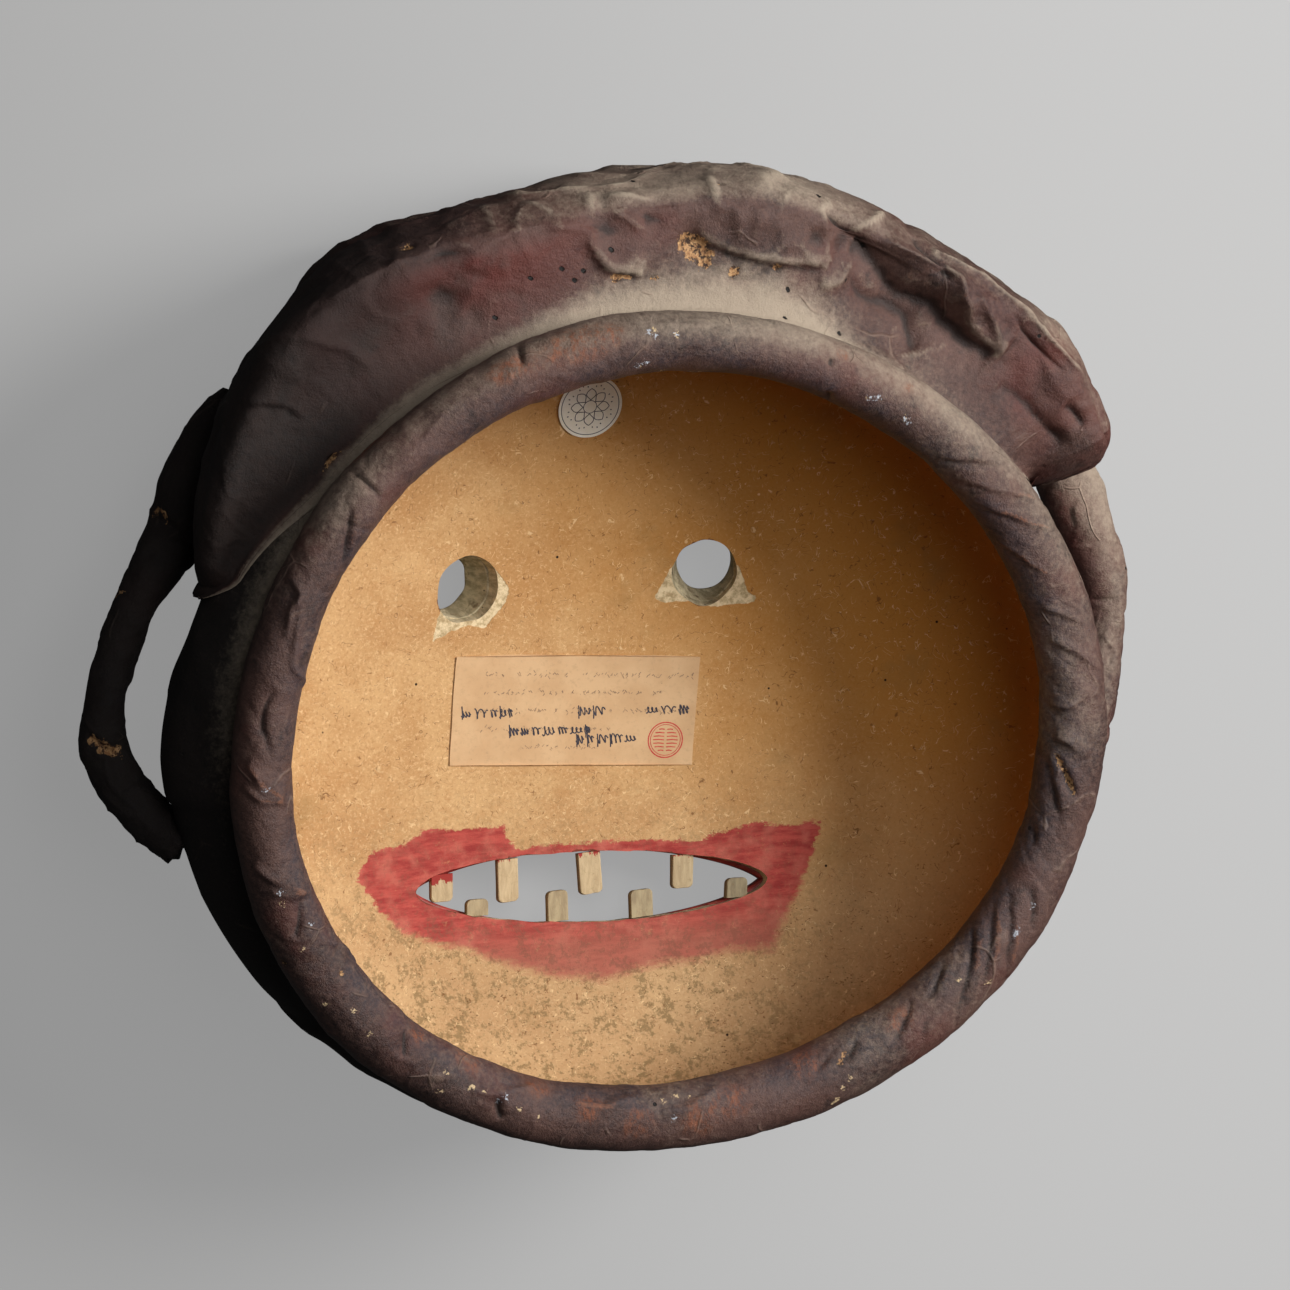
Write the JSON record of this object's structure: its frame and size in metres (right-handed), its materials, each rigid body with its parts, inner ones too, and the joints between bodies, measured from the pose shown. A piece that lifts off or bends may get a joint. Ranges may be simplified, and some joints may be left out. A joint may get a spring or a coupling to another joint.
{
  "type": "theatre mask",
  "caption": "Full-face papered theatre mask: deep bowl with eye holes and an open toothed mouth, a thick wrapped rim, a padded head roll and a looped ear at each side.",
  "frame": {"origin": "under the middle of the mask's outline, on the surface that it lies on face down", "axes": "+X towards the wearer's right ear, +Y towards the top of the head, +Z out of the open back"},
  "size_m": [0.4872, 0.4266, 0.1645],
  "materials": {
    "shell_paper": "bare glued straw-coloured paper inside, dark lacquered paper outside, dusty",
    "dark_paper": "maroon-brown lacquered mulberry paper, wrinkled, worn and dusty, satin",
    "face_paper": "maroon-brown lacquered paper over built-up pulp, satin",
    "eye_paper": "bare pulp and torn cream paper round the eye holes",
    "lip_paper": "red painted paper, matt",
    "tooth_wood": "bare split wood, worn and grubby",
    "label_paper": "aged typing paper, glued, with a dull red stamp",
    "sticker_paper": "aged cream sticker"
  },
  "bodies": {
    "root": {"shell": "shell_paper", "rim_roll": "dark_paper", "head_roll": "dark_paper", "left_ear": "dark_paper", "right_ear": "dark_paper", "nose": "face_paper", "left_brow": "face_paper", "right_brow": "face_paper", "left_eye_ring": "eye_paper", "right_eye_ring": "eye_paper", "lips": "lip_paper", "upper_tooth_1": "tooth_wood", "upper_tooth_2": "tooth_wood", "upper_tooth_3": "tooth_wood", "upper_tooth_4": "tooth_wood", "lower_tooth_1": "tooth_wood", "lower_tooth_2": "tooth_wood", "lower_tooth_3": "tooth_wood", "lower_tooth_4": "tooth_wood", "paper_label": "label_paper", "round_sticker": "sticker_paper"}
  },
  "joints": []
}
